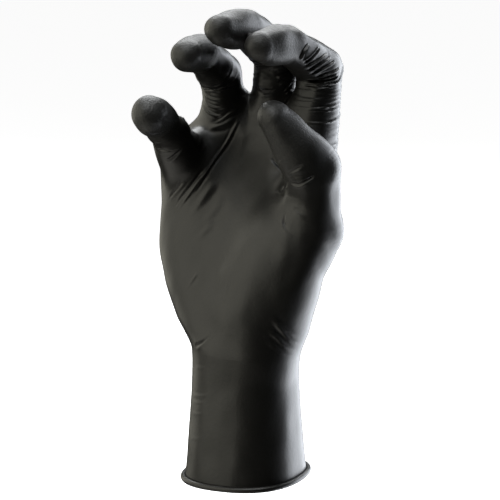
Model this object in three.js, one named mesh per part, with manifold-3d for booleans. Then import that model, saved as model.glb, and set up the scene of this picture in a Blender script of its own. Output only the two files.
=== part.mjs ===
// A thin dipped glove in the shape it keeps while worn. It is a right-hand form
// with the fingers curled forward and the thumb beside them. The film is hollow
// and open at the cuff, and the cuff's edge is rolled outwards into a bead.
// Millimetres. +Z runs from the cuff to the fingers, the palm faces -Y, the thumb
// side is +X, and the origin is the centre of the cuff's opening.
import * as THREE from 'three';
import Module from 'manifold-3d';

const WALL = 1.0; // film thickness as modelled
const SUPER = 2.4; // exponent of the cuff's and palm's rounded sections
const WRIST = { height: 56, bendBack: 19.1, swing: -4.9 };
const OPENING_TILT = { angle: 4.4, towards: 30, fadesBy: 25 };
const BEAD = { radius: 1.3, standsOff: 0.9, facets: 8, around: 46 };
const CREASE = 0.4; // radius left at the front of a bent knuckle
const OUTSIDE = { inset: 0, fingerFacets: 18, boneSteps: 3, bendStep: 14, capSteps: 4,
  around: 40, rows: 24, below: 0 };
const INSIDE = { inset: WALL, fingerFacets: 12, boneSteps: 2, bendStep: 20, capSteps: 3,
  around: 30, rows: 15, below: 4 };

// Sections of the cuff, square to +Z. half is half the breadth, front and back
// are the depths on the palm's side and on the back.
const CUFF = [
  { z: 0, half: 26.9, front: 22.8, back: 22.8 },
  { z: 12, half: 26.0, front: 21.8, back: 21.8 },
  { z: 30, half: 24.7, front: 20.2, back: 20.2 },
  { z: 46, half: 24.0, front: 18.9, back: 18.9 },
  { z: 56, half: 24.3, front: 18.6, back: 18.6 },
];

// Sections of the hand, square to its own axis and h above the wrist. left and
// right are the edges, fore is how far the section sits forward of the axis, and
// cup is how far its edges come forward of its middle.
const PALM = [
  { h: 14, left: -33.5, right: 25, fore: 0, front: 18.5, back: 17, cup: 1 },
  { h: 30, left: -41, right: 27, fore: 0, front: 19, back: 16, cup: 2 },
  { h: 50, left: -45.5, right: 30, fore: 0, front: 18, back: 15, cup: 4 },
  { h: 70, left: -45, right: 33, fore: 0, front: 15, back: 13.5, cup: 6 },
  { h: 84, left: -43.4, right: 34.5, fore: 0.5, front: 13.5, back: 12.5, cup: 7 },
  { h: 94, left: -40, right: 34.5, fore: 2, front: 11.5, back: 10.5, cup: 6 },
  { h: 103, left: -31, right: 32, fore: 4, front: 8.5, back: 8, cup: 4 },
  { h: 110, left: -20, right: 26, fore: 5.5, front: 5.5, back: 5.5, cup: 3 },
  { h: 113, left: -11, right: 17, fore: 6, front: 3, back: 3, cup: 2 },
];

// Fingers. root is the knuckle in the hand's frame, bones the three lengths, the
// last one up to the centre of the tip's ball, bend the three knuckle angles, and
// wide and deep the half sizes at each knuckle and halfway between.
const FINGERS = [
  { name: 'index', root: [25.2, 0, 86], bones: [41, 24, 16.8], spread: 10, turn: -13.1,
    bend: [14.1, 66.7, 26.1], wide: [10.6, 10.4, 10.1, 9.2, 8.6, 8.4, 7.4],
    deep: [9.4, 10, 9.6, 8.8, 8.6, 8.6, 6.9] },
  { name: 'middle', root: [3, 3, 89], bones: [45, 28, 17.8], spread: 9.4, turn: -5.2,
    bend: [18.4, 61.1, 27.2], wide: [10.6, 10.2, 10.2, 9.3, 8.5, 8.4, 7.3],
    deep: [9.8, 9.9, 9.8, 8.9, 8.3, 8.4, 6.9] },
  { name: 'ring', root: [-15, 1, 84], bones: [42, 26, 17.5], spread: -5.6, turn: 9.2,
    bend: [26.1, 57, 24], wide: [11, 10.4, 9.7, 8.9, 8.4, 8.4, 7.2],
    deep: [10.4, 9.5, 9, 8.5, 8.2, 8, 6.8] },
  { name: 'little', root: [-32.8, -5, 76], bones: [33, 19, 11.6], spread: -11.5, turn: 13.5,
    bend: [64.1, 21.3, 8], wide: [11.5, 10.8, 9.1, 8.4, 8.2, 8.3, 8.1],
    deep: [11, 10, 8.6, 7.8, 8, 8.4, 8.3] },
];

// The thumb swings out from the palm and leans forward before its bones bend.
const THUMB = { name: 'thumb', root: [15.7, -1.8, 14.7], bones: [44, 31.9, 23.9], spread: 26.4,
  lean: 12.5, turn: -54.6, bend: [0, 23.4, 39.7], wide: [11, 14.5, 12.5, 10.6, 10.8, 10.2, 8.2],
  deep: [11.5, 10.2, 12.2, 11.4, 12.3, 9.9, 7.4] };

// Fleshy parts that fill the space between the thumb's bones and the palm, each
// from one point to another in the hand's frame.
const PADS = [
  { name: 'thumb pad', from: [6.6, -9, 16], to: [23, -12.5, 45], wide: [15, 17, 13], deep: [12, 12, 11] },
  { name: 'thumb heel', from: [11, -3, -2], to: [18, -3.5, 27], wide: [10, 12, 12], deep: [9, 10, 10] },
  { name: 'thumb web', from: [22.3, 2.6, 51], to: [32, -8, 55], wide: [9, 8, 8], deep: [14, 11, 11] },
  { name: 'thumb drape', from: [11.4, -9, 33], to: [24.5, -11, 66], wide: [13, 12, 9], deep: [10, 10, 9] },
];

const wasm = await Module();
wasm.setup();

const radians = THREE.MathUtils.degToRad;
const turnX = (angle) => new THREE.Matrix4().makeRotationX(radians(angle));
const turnY = (angle) => new THREE.Matrix4().makeRotationY(radians(angle));
const turnZ = (angle) => new THREE.Matrix4().makeRotationZ(radians(angle));
const handTurn = turnX(-WRIST.bendBack).multiply(turnY(WRIST.swing));

// A point of the hand's frame, in the glove's frame.
function inHand(point) {
  return new THREE.Vector3(...point).applyMatrix4(handTurn).add(new THREE.Vector3(0, 0, WRIST.height));
}

// A smooth curve through (xs, ys) that never overshoots its points.
function curveThrough(xs, ys) {
  const slopes = xs.slice(1).map((x, i) => (ys[i + 1] - ys[i]) / (x - xs[i]));
  const tangents = xs.map((x, i) => {
    if (i === 0) return slopes[0];
    if (i === xs.length - 1) return slopes[i - 1];
    const [before, after] = [slopes[i - 1], slopes[i]];
    return before * after <= 0 ? 0 : (2 * before * after) / (before + after);
  });
  return (x) => {
    let i = 0;
    while (i < xs.length - 2 && x > xs[i + 1]) i += 1;
    const span = xs[i + 1] - xs[i];
    const t = (x - xs[i]) / span;
    const rise = ys[i] * (1 + 2 * t) * (1 - t) ** 2 + ys[i + 1] * t * t * (3 - 2 * t);
    return rise + span * (tangents[i] * t * (1 - t) ** 2 + tangents[i + 1] * t * t * (t - 1));
  };
}

// A closed body skinned over rings of points, with a flat fan on each end ring.
function skinOver(rings, closedLoop = false) {
  const around = rings[0].length;
  const points = rings.flat().flatMap((p) => [p.x, p.y, p.z]);
  const faces = [];
  const bands = closedLoop ? rings.length : rings.length - 1;
  for (let r = 0; r < bands; r += 1) {
    const low = r * around;
    const high = ((r + 1) % rings.length) * around;
    for (let i = 0; i < around; i += 1) {
      const next = (i + 1) % around;
      faces.push(low + i, low + next, high + next, low + i, high + next, high + i);
    }
  }
  if (!closedLoop) {
    for (const [ring, start] of [[rings[0], 0], [rings.at(-1), (rings.length - 1) * around]]) {
      const middle = ring.reduce((sum, p) => sum.add(p), new THREE.Vector3()).divideScalar(around);
      const centre = points.length / 3;
      points.push(middle.x, middle.y, middle.z);
      for (let i = 0; i < around; i += 1) {
        const next = (i + 1) % around;
        if (start === 0) faces.push(centre, i + 1 === around ? 0 : i + 1, i);
        else faces.push(centre, start + i, start + next);
      }
    }
  }
  return new wasm.Manifold(new wasm.Mesh({
    numProp: 3,
    vertProperties: new Float32Array(points),
    triVerts: new Uint32Array(faces),
  }));
}

// The value of a three-entry table at t from 0 to 1, on one parabola.
function along([first, middle, last], t) {
  return first * (1 - t) * (1 - 2 * t) + middle * 4 * t * (1 - t) + last * t * (2 * t - 1);
}

// How far the back of a bent knuckle stands off the middle of the bend, at angle
// into a bend of the given radius: the two bones' skins run on straight until a
// ball of the finger's own half depth takes over around the corner.
function knuckleBack(halfDeep, radius, bend, angle) {
  const near = Math.min(angle, bend - angle);
  const straight = radius * Math.tan(bend / 2);
  if ((radius + halfDeep) * Math.tan(near) <= straight) {
    return (radius + halfDeep) / Math.cos(near) - radius;
  }
  const corner = radius / Math.cos(bend / 2);
  const off = bend / 2 - near;
  return corner * Math.cos(off) + Math.sqrt(halfDeep ** 2 - (corner * Math.sin(off)) ** 2) - radius;
}

// An elliptical ring with its own depths towards the palm and towards the back.
function ellipse(centre, side, up, wide, front, back, facets) {
  return Array.from({ length: facets }, (_, k) => {
    const turn = (2 * Math.PI * k) / facets;
    const reach = Math.sin(turn) < 0 ? front : back;
    return centre.clone()
      .addScaledVector(side, wide * Math.cos(turn))
      .addScaledVector(up, reach * Math.sin(turn));
  });
}

// Rings of a half ellipsoid beyond an end, from the pole side inwards. way is -1
// before the first joint and +1 beyond the tip.
function roundEnd(centre, axis, side, up, wide, deep, way, make) {
  const reach = (wide + deep) / 2;
  return Array.from({ length: make.capSteps }, (_, i) => {
    const angle = ((i + 0.4) / make.capSteps) * (Math.PI / 2);
    const spot = centre.clone().addScaledVector(axis, way * reach * Math.cos(angle));
    const grow = Math.sin(angle);
    return ellipse(spot, side, up, wide * grow, deep * grow, deep * grow, make.fingerFacets);
  });
}

// A digit's skin in one sweep along its bones. At each knuckle the rings fan
// round a line just in front of the skin, so that the front folds into a crease.
function digit(row, make) {
  const set = turnY(row.spread).multiply(turnX(row.lean ?? 0)).multiply(turnZ(row.turn));
  const base = handTurn.clone().multiply(set);
  const side = new THREE.Vector3(1, 0, 0).applyMatrix4(base);
  const heading = (angle) => (
    new THREE.Vector3(0, 0, 1).applyMatrix4(turnX(angle)).applyMatrix4(base));
  const [wide, deep] = [row.wide, row.deep].map((table) => table.map((size) => size - make.inset));
  const bends = [0, row.bend[1], row.bend[2], 0].map(radians);
  const radii = [0, 2, 4, 6].map((i) => row.deep[i] + CREASE);
  const trims = bends.map((bend, i) => radii[i] * Math.tan(bend / 2));
  const rings = [];
  let joint = inHand(row.root);
  let angle = row.bend[0];
  for (let i = 0; i < 3; i += 1) {
    const axis = heading(angle);
    const up = axis.clone().cross(side);
    const start = joint.clone().addScaledVector(axis, trims[i]);
    const length = row.bones[i] - trims[i] - trims[i + 1];
    const sizes = [wide, deep].map((table) => table.slice(2 * i, 2 * i + 3));
    if (i === 0) rings.push(...roundEnd(joint, axis, side, up, wide[0], deep[0], -1, make));
    for (let k = 0; k <= make.boneSteps; k += 1) {
      const t = k / make.boneSteps;
      const [halfWide, halfDeep] = sizes.map((table) => along(table, t));
      const centre = start.clone().addScaledVector(axis, length * t);
      rings.push(ellipse(centre, side, up, halfWide, halfDeep, halfDeep, make.fingerFacets));
    }
    joint.addScaledVector(axis, row.bones[i]);
    if (i === 2) {
      rings.push(...roundEnd(joint, axis, side, up, wide[6], deep[6], 1, make).reverse());
      break;
    }
    const j = i + 1;
    const steps = Math.max(2, Math.round(row.bend[j] / make.bendStep));
    const pivot = joint.clone().addScaledVector(axis, -trims[j]).addScaledVector(up, -radii[j]);
    for (let k = 1; k < steps; k += 1) {
      const turned = (bends[j] * k) / steps;
      const axisNow = heading(angle + THREE.MathUtils.radToDeg(turned));
      const upNow = axisNow.clone().cross(side);
      const centre = pivot.clone().addScaledVector(upNow, radii[j]);
      const back = knuckleBack(deep[2 * j], radii[j], bends[j], turned);
      rings.push(ellipse(centre, side, upNow, wide[2 * j], deep[2 * j], back, make.fingerFacets));
    }
    angle += row.bend[j];
  }
  return skinOver(rings);
}

// A fleshy pad: one swept body between two points with rounded ends.
function pad(row, make) {
  const from = inHand(row.from);
  const to = inHand(row.to);
  const axis = to.clone().sub(from);
  const length = axis.length();
  axis.normalize();
  const up = axis.clone().cross(new THREE.Vector3(1, 0, 0).applyMatrix4(handTurn)).normalize();
  const side = up.clone().cross(axis);
  const [wide, deep] = [row.wide, row.deep].map((table) => table.map((size) => size - make.inset));
  const rings = roundEnd(from, axis, side, up, wide[0], deep[0], -1, make);
  for (let k = 0; k <= make.boneSteps; k += 1) {
    const t = k / make.boneSteps;
    const [halfWide, halfDeep] = [along(wide, t), along(deep, t)];
    const centre = from.clone().addScaledVector(axis, length * t);
    rings.push(ellipse(centre, side, up, halfWide, halfDeep, halfDeep, make.fingerFacets));
  }
  rings.push(...roundEnd(to, axis, side, up, wide[2], deep[2], 1, make).reverse());
  return skinOver(rings);
}

// Sections of the cuff and the palm as centre, two axes and sizes, one after
// another up the hand. The axes swing over to the hand's own above the wrist.
function sections() {
  const cuff = CUFF.map(({ z, half, front, back }) => ({
    centre: new THREE.Vector3(0, 0, z),
    breadth: new THREE.Vector3(1, 0, 0),
    depth: new THREE.Vector3(0, 1, 0),
    sizes: [half, front, back, 0],
  }));
  const palm = PALM.map(({ h, left, right, fore, front, back, cup }) => {
    const share = Math.min(h / 30, 1);
    const turned = turnX(-WRIST.bendBack * share).multiply(turnY(WRIST.swing * share));
    return {
      centre: inHand([(left + right) / 2, -fore, h]),
      breadth: new THREE.Vector3(1, 0, 0).applyMatrix4(turned),
      depth: new THREE.Vector3(0, 1, 0).applyMatrix4(turned),
      sizes: [(right - left) / 2, front, back, cup],
    };
  });
  return [...cuff, ...palm];
}

// Lifts a point near the opening so that the opening's plane leans.
function leanOpening(point) {
  const share = THREE.MathUtils.clamp(1 - point.z / OPENING_TILT.fadesBy, 0, 1);
  const heading = radians(OPENING_TILT.towards);
  const reach = point.x * Math.cos(heading) + point.y * Math.sin(heading);
  point.z += share * Math.tan(radians(OPENING_TILT.angle)) * reach;
  return point;
}

// A point of a section at the angle turn: a superellipse, deeper or shallower in
// front and behind, with its edges brought forward by cup.
function onSection({ centre, breadth, depth, sizes }, turn, inset) {
  const [half, front, back, cup] = sizes;
  const bulge = (value) => Math.sign(value) * Math.abs(value) ** (2 / SUPER);
  const x = bulge(Math.cos(turn));
  const y = bulge(Math.sin(turn));
  const reach = (y < 0 ? front : back) - inset;
  return centre.clone()
    .addScaledVector(breadth, (half - inset) * x)
    .addScaledVector(depth, reach * y - cup * x * x);
}

// The cuff and palm in one: sections blended along the length of their centres.
function cuffAndPalm(make) {
  const rows = sections();
  const stops = [0];
  for (let i = 1; i < rows.length; i += 1) {
    stops.push(stops[i - 1] + rows[i].centre.distanceTo(rows[i - 1].centre));
  }
  const columns = rows.map(({ centre, breadth, depth, sizes }) => [
    ...centre.toArray(), ...breadth.toArray(), ...depth.toArray(), ...sizes,
  ]);
  const curves = columns[0].map((_, c) => curveThrough(stops, columns.map((column) => column[c])));
  const top = stops.at(-1) - make.inset;
  const rings = Array.from({ length: make.rows + 1 }, (_, i) => {
    const at = curves.map((curve) => curve((top * i) / make.rows));
    const section = {
      centre: new THREE.Vector3(...at.slice(0, 3)),
      breadth: new THREE.Vector3(...at.slice(3, 6)).normalize(),
      depth: new THREE.Vector3(...at.slice(6, 9)).normalize(),
      sizes: at.slice(9),
    };
    return Array.from({ length: make.around }, (_, k) => {
      const turn = (2 * Math.PI * k) / make.around;
      return leanOpening(onSection(section, turn, make.inset));
    });
  });
  if (make.below > 0) {
    rings.unshift(rings[0].map((p) => new THREE.Vector3(p.x, p.y, p.z - make.below)));
  }
  return skinOver(rings);
}

// The rolled edge: a round cord that follows the cuff's outline at the opening.
function bead() {
  const section = sections()[0];
  const outline = Array.from({ length: BEAD.around }, (_, k) => (
    onSection(section, (2 * Math.PI * k) / BEAD.around, 0)));
  const rings = outline.map((point, k) => {
    const ahead = outline[(k + 1) % BEAD.around];
    const behind = outline[(k + BEAD.around - 1) % BEAD.around];
    const run = ahead.clone().sub(behind).normalize();
    const out = new THREE.Vector3(run.y, -run.x, 0);
    const centre = point.clone().addScaledVector(out, BEAD.standsOff);
    return Array.from({ length: BEAD.facets }, (_, j) => {
      const turn = (2 * Math.PI * (j + 0.5)) / BEAD.facets;
      const spot = centre.clone().addScaledVector(out, BEAD.radius * Math.cos(turn));
      spot.z -= BEAD.radius * Math.sin(turn);
      return leanOpening(spot);
    });
  });
  return skinOver(rings, true);
}

// Every bone, pad, the palm and the cuff joined into one body.
function handForm(make) {
  const bodies = [cuffAndPalm(make)];
  for (const row of [...FINGERS, THUMB]) bodies.push(digit(row, make));
  for (const row of PADS) bodies.push(pad(row, make));
  return bodies.reduce((whole, body) => whole.add(body));
}

function toMesh(solid, name, material) {
  const { numProp, vertProperties, triVerts } = solid.getMesh();
  const geometry = new THREE.BufferGeometry();
  const positions = new Float32Array((vertProperties.length / numProp) * 3);
  for (let i = 0; i < positions.length / 3; i += 1) {
    for (let c = 0; c < 3; c += 1) positions[3 * i + c] = vertProperties[numProp * i + c];
  }
  geometry.setAttribute('position', new THREE.BufferAttribute(positions, 3));
  geometry.setIndex(new THREE.BufferAttribute(new Uint32Array(triVerts), 1));
  geometry.computeVertexNormals();
  const mesh = new THREE.Mesh(geometry, material);
  mesh.name = name;
  return mesh;
}

const film = new THREE.MeshStandardMaterial({ color: 0x2b2b29, roughness: 0.45, metalness: 0 });
const shell = handForm(OUTSIDE).add(bead()).subtract(handForm(INSIDE));

const glove = new THREE.Group();
glove.name = 'glove';
glove.add(toMesh(shell, 'glove_shell', film));

export default glove;
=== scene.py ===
import bpy
import bmesh
import numpy as np
from mathutils import Matrix, Vector


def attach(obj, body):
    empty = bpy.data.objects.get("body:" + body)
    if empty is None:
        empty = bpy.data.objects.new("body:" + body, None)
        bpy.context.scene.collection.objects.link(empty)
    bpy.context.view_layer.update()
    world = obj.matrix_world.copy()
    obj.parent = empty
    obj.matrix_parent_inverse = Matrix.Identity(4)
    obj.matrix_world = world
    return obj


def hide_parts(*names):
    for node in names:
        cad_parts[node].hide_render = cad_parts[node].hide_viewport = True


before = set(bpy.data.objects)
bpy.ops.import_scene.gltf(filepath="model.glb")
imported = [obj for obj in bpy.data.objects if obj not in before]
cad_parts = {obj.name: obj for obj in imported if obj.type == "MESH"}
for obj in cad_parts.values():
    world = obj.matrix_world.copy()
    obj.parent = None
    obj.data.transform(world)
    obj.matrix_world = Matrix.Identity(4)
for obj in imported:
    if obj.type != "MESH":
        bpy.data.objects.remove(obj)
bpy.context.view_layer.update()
mm = 0.001


# the form that the film is drawn over, bent as the worn glove is, in millimetres

form = {
    "wristHeight": 56.0,
    "bendBack": 19.1,       # degrees that the palm leans back from the cuff
    "swing": -4.9,          # degrees that it leans to the side
    "leansBy": 30.0,        # height above the wrist by which the sections lean in full
    "sectionPower": 2.4,    # exponent of the rounded cuff and palm sections
    "cupLimit": 1.2,        # the cup grows with the square of the way out, up to this
    "openingTilt": 4.4,     # degrees that the opening leans towards the direction below
    "openingTowards": 30.0,
    "tiltFades": 25.0,      # height by which that lean has faded out
    # height, half breadth, depth in front, depth behind
    "cuff": [(0, 26.9, 22.8, 22.8), (12, 26.0, 21.8, 21.8), (30, 24.7, 20.2, 20.2),
             (46, 24.0, 18.9, 18.9), (56, 24.3, 18.6, 18.6)],
    # height above the wrist, left edge, right edge, how far forward, depth in front, behind, cup
    "palm": [(14, -33.5, 25, 0, 18.5, 17, 1), (30, -41, 27, 0, 19, 16, 2),
             (50, -45.5, 30, 0, 18, 15, 4), (70, -45, 33, 0, 15, 13.5, 6),
             (84, -43.4, 34.5, 0.5, 13.5, 12.5, 7),
             (94, -40, 34.5, 2, 11.5, 10.5, 6), (103, -31, 32, 4, 8.5, 8, 4),
             (110, -20, 26, 5.5, 5.5, 5.5, 3), (113, -11, 17, 6, 3, 3, 2)],
}

# each digit: where it starts, its three straight lengths, how it stands, the bends in degrees
# before each length, and half widths and half depths at the start, middle and end of each
digits = {
    "index": {"root": (25.2, 0, 86), "lengths": (41, 24, 16.8), "spread": 10, "lean": 0,
              "turn": -13.1, "bend": (14.1, 66.7, 26.1), "wide": (10.6, 10.4, 10.1, 9.2, 8.6, 8.4, 7.4),
              "deep": (9.4, 10, 9.6, 8.8, 8.6, 8.6, 6.9)},
    "middle": {"root": (3, 3, 89), "lengths": (45, 28, 17.8), "spread": 9.4, "lean": 0, "turn": -5.2,
               "bend": (18.4, 61.1, 27.2), "wide": (10.6, 10.2, 10.2, 9.3, 8.5, 8.4, 7.3),
               "deep": (9.8, 9.9, 9.8, 8.9, 8.3, 8.4, 6.9)},
    "ring": {"root": (-15, 1, 84), "lengths": (42, 26, 17.5), "spread": -5.6, "lean": 0, "turn": 9.2,
             "bend": (26.1, 57, 24), "wide": (11, 10.4, 9.7, 8.9, 8.4, 8.4, 7.2),
             "deep": (10.4, 9.5, 9, 8.5, 8.2, 8, 6.8)},
    "little": {"root": (-32.8, -5, 76), "lengths": (33, 19, 11.6), "spread": -11.5, "lean": 0,
               "turn": 13.5, "bend": (64.1, 21.3, 8), "wide": (11.5, 10.8, 9.1, 8.4, 8.2, 8.3, 8.1),
               "deep": (11, 10, 8.6, 7.8, 8, 8.4, 8.3)},
    "thumb": {"root": (15.7, -1.8, 14.7), "lengths": (44, 27.4, 27.5), "spread": 26.4, "lean": 12.5,
              "turn": -54.6, "bend": (0, 23.4, 33.7), "wide": (11, 14.5, 12.5, 10.6, 10.8, 10.2, 8.2),
              "deep": (11.5, 10.2, 12.2, 11.4, 12.3, 9.9, 7.4)},
}

# rounded pads between the thumb, the little finger and the palm: from, to, half widths, half depths
pads = {
    "thumb pad": ((6.6, -9, 16), (23, -12.5, 45), (15, 17, 13), (12, 12, 11)),
    "thumb heel": ((11, -3, -2), (18, -3.5, 27), (10, 12, 12), (9, 10, 10)),
    "thumb web": ((22.3, 2.6, 51), (32, -8, 55), (9, 8, 8), (14, 11, 11)),
    "thumb drape": ((11.4, -9, 33), (24.5, -11, 66), (13, 12, 9), (10, 10, 9)),
    "little drape": ((-29, -8, 70), (-14, -3, 74), (8, 9, 9), (6, 7, 7)),
}


def turned(axis, degrees):
    # the 3x3 turn about x, y or z by the right-hand rule
    c, s = np.cos(np.radians(degrees)), np.sin(np.radians(degrees))
    i, j = {"x": (1, 2), "y": (2, 0), "z": (0, 1)}[axis]
    m = np.eye(3)
    m[i, i] = m[j, j] = c
    m[i, j], m[j, i] = -s, s
    return m


palmTurn = turned("x", -form["bendBack"]) @ turned("y", form["swing"])
wrist = np.array([0, 0, form["wristHeight"]])


def fromPalm(point):
    # a point of the palm's frame put into the glove's frame: turn, then lift to the wrist
    return wrist + palmTurn @ np.array(point, float)


def unit(v):
    # v / |v|, row by row
    return v / np.linalg.norm(v, axis=-1, keepdims=True)


def smoothThrough(x, y, at):
    # cubic Hermite curve through (x, y); its inner slopes are harmonic means, so it never overshoots
    x, y = np.asarray(x, float), np.asarray(y, float).reshape(len(x), -1)
    slope = np.diff(y, axis=0) / np.diff(x)[:, None]
    before, after = slope[:-1], slope[1:]
    flat = before * after <= 0
    inner = np.where(flat, 0, 2 * before * after / np.where(flat, 1, before + after))
    tangent = np.vstack([slope[:1], inner, slope[-1:]])
    i = np.clip(np.searchsorted(x, at, side="right") - 1, 0, len(x) - 2)
    span = (x[i + 1] - x[i])[:, None]
    t = (np.asarray(at)[:, None] - x[i][:, None]) / span
    level = y[i] * (1 + 2 * t) * (1 - t) ** 2 + y[i + 1] * t ** 2 * (3 - 2 * t)
    return level + span * (tangent[i] * t * (1 - t) ** 2 + tangent[i + 1] * t ** 2 * (t - 1))


def palmSections():
    # centre, breadth axis, depth axis and (half, front, back, cup) of each section up the form
    rows = [np.concatenate([(0, 0, z, 1, 0, 0, 0, 1, 0), (half, front, back, 0)])
            for z, half, front, back in form["cuff"]]
    for h, left, right, fore, front, back, cup in form["palm"]:
        share = min(h / form["leansBy"], 1)
        m = turned("x", -form["bendBack"] * share) @ turned("y", form["swing"] * share)
        rows.append(np.concatenate([fromPalm(((left + right) / 2, -fore, h)), m[:, 0], m[:, 1],
                                    ((right - left) / 2, front, back, cup)]))
    rows = np.array(rows, float)
    stops = np.concatenate([[0], np.cumsum(np.linalg.norm(np.diff(rows[:, :3], axis=0), axis=1))])
    return stops, rows


palmStops, palmRows = palmSections()


def palmAt(t):
    # the sections' columns at t millimetres up the form; below the opening the cuff runs straight on
    held = np.clip(t, 0, palmStops[-1])
    row = smoothThrough(palmStops, palmRows, held)
    row[:, 3:6], row[:, 6:9] = unit(row[:, 3:6]), unit(row[:, 6:9])
    over = unit(np.cross(row[:, 3:6], row[:, 6:9]))
    row[:, :3] += (t - held)[:, None] * over
    return row


def alongTable(table, t):
    # the parabola through three values at t = 0, 1/2 and 1
    a, b, c = table
    return a * (1 - t) * (1 - 2 * t) + b * 4 * t * (1 - t) + c * t * (2 * t - 1)


def knuckleBack(deep, radius, bend, angle):
    # depth behind the middle of a bend: the straight backs on both sides run on, (radius + deep) / cos,
    # until a ball of the digit's own depth takes over round the corner
    near = np.minimum(angle, bend - angle)
    straight = radius * np.tan(bend / 2)
    corner, off = radius / np.cos(bend / 2), bend / 2 - near
    ball = corner * np.cos(off) + np.sqrt(np.maximum(deep ** 2 - (corner * np.sin(off)) ** 2, 0))
    run = (radius + deep) / np.cos(near)
    return np.where((radius + deep) * np.tan(near) <= straight, run, ball) - radius


# stations along a digit or pad: mm between them, degrees between them round a bend, what is added
# to the inner radius of a bend, how many a pad has, and where the palm's start and how far apart
stations = {"step": 1.0, "bendStep": 4.0, "bendRoom": 0.4, "perPad": 12,
            "palmFrom": -10, "palmStep": 0.8}


def digitPath(digit):
    # rows of centre, axis, up vector, half width, depth in front and behind: straight lengths, joined
    # by arcs whose radius is the depth in front
    stands = turned("y", digit["spread"]) @ turned("x", digit["lean"]) @ turned("z", digit["turn"])
    base = palmTurn @ stands
    side = base[:, 0]
    wide, deep = np.array(digit["wide"], float), np.array(digit["deep"], float)
    bends = np.radians([0, digit["bend"][1], digit["bend"][2], 0])
    radii = deep[::2] + stations["bendRoom"]
    trims = radii * np.tan(bends / 2)
    joint, angle, rows = fromPalm(digit["root"]), digit["bend"][0], []

    def heading(degrees):
        # the way a digit runs when bent by so many degrees in all
        return base @ turned("x", degrees) @ np.array([0, 0, 1.0])

    for i, whole in enumerate(digit["lengths"]):
        axis = heading(angle)
        up = np.cross(axis, side)
        length = whole - trims[i] - trims[i + 1]
        t = np.linspace(0, 1, max(3, int(length / stations["step"]) + 1))
        w, d = alongTable(wide[2 * i:2 * i + 3], t), alongTable(deep[2 * i:2 * i + 3], t)
        centre = joint + axis * (trims[i] + length * t)[:, None]
        ones = np.ones((len(t), 1))
        rows.append(np.hstack([centre, ones * axis, ones * up, np.stack([w, d, d], 1)]))
        joint = joint + axis * whole
        if i < 2:
            j, bend = i + 1, bends[i + 1]
            pivot = joint - axis * trims[j] - up * radii[j]
            a = np.linspace(0, bend, max(3, int(np.degrees(bend) / stations["bendStep"]) + 1))[1:-1]
            axes = np.array([heading(angle + np.degrees(v)) for v in a])
            ups = np.cross(axes, side)
            back = knuckleBack(deep[2 * j], radii[j], bend, a)
            sizes = np.stack([np.full(len(a), wide[2 * j]), np.full(len(a), deep[2 * j]), back], 1)
            rows.append(np.hstack([pivot + ups * radii[j], axes, ups, sizes]))
            angle += digit["bend"][j]
    rows = np.vstack(rows)
    s = np.concatenate([[0], np.cumsum(np.linalg.norm(np.diff(rows[:, :3], axis=0), axis=1))])
    return {"side": side, "rows": rows, "s": s}


def padPath(pad):
    # a pad as the same kind of stations, straight from one point to the other
    start, end = fromPalm(pad[0]), fromPalm(pad[1])
    axis = unit(end - start)
    up = unit(np.cross(axis, palmTurn[:, 0]))
    length = np.linalg.norm(end - start)
    t = np.linspace(0, 1, stations["perPad"])
    w, d = alongTable(pad[2], t), alongTable(pad[3], t)
    ones = np.ones((len(t), 1))
    centre = start + axis * (length * t)[:, None]
    rows = np.hstack([centre, ones * axis, ones * up, np.stack([w, d, d], 1)])
    return {"side": np.cross(up, axis), "rows": rows, "s": length * t}


paths = {name: digitPath(digit) for name, digit in digits.items()}
paths.update({name: padPath(pad) for name, pad in pads.items()})


# the depth of any point below the film, and where it lies on the glove

def placeOnPath(points, path):
    # nearest station, slid along its axis: s is the length there, x and y are across and up, past
    # is how far beyond either end, and q = |(x / wide, y / deep, past / end)| is 1 on the surface;
    # the depth is (q - 1) over q's slope, and round the angle from the palm side
    rows, s = path["rows"], path["s"]
    gap = (points ** 2).sum(1)[:, None] - 2 * points @ rows[:, :3].T + (rows[:, :3] ** 2).sum(1)
    j = gap.argmin(1)
    slide = ((points - rows[j, :3]) * rows[j, 3:6]).sum(1)
    at = s[j] + slide
    held = np.clip(at, 0, s[-1])
    row = np.stack([np.interp(held, s, column) for column in rows.T], 1)
    away = points - row[:, :3]
    x, y = away @ path["side"], (away * unit(row[:, 6:9])).sum(1)
    past = (away * unit(row[:, 3:6])).sum(1) * (held != at)
    wide, deep = row[:, 9], np.where(y < 0, row[:, 10], row[:, 11])
    end = (row[:, 9] + row[:, 10]) / 2
    q = np.sqrt((x / wide) ** 2 + (y / deep) ** 2 + (past / end) ** 2) + 1e-9
    steep = np.sqrt((x / wide ** 2) ** 2 + (y / deep ** 2) ** 2 + (past / end ** 2) ** 2) / q
    return {"depth": (q - 1) / steep, "s": at, "round": np.degrees(np.arctan2(x, -y))}


palmSteps = np.arange(stations["palmFrom"], palmStops[-1] + 0.01, stations["palmStep"])
palmTable = palmAt(palmSteps)


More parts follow.
